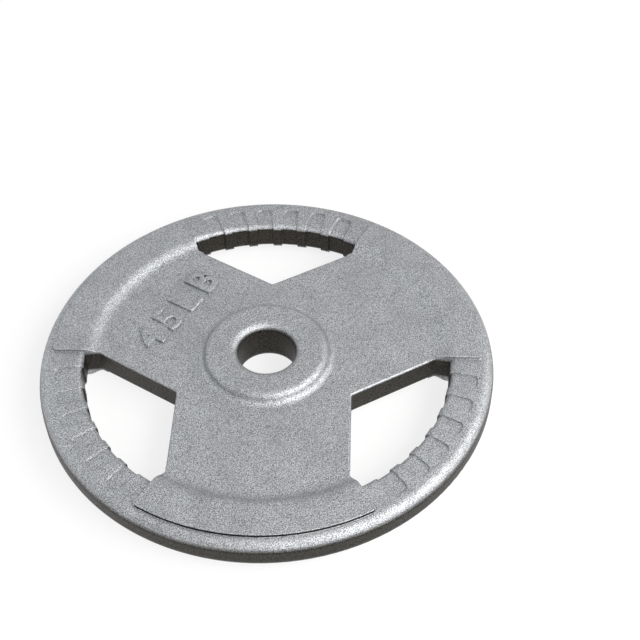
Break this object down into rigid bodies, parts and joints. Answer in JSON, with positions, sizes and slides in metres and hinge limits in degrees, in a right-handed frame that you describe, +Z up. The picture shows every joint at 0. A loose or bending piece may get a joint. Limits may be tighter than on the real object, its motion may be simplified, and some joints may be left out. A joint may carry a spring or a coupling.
{
  "type": "barbell weight plate",
  "caption": "Round cast-iron weight plate with a centre bore, raised rim pads and hand windows whose grip bars have finger pockets.",
  "frame": {"origin": "on the bore axis at the lower face of the hub, which the plate rests on", "axes": "+Z up along the bore axis, -Y along the middle of one spoke"},
  "size_m": [0.4, 0.4, 0.0417],
  "materials": {
    "painted_iron": "silver-grey hammertone paint"
  },
  "bodies": {
    "root": {"plate": "painted_iron"}
  },
  "joints": []
}
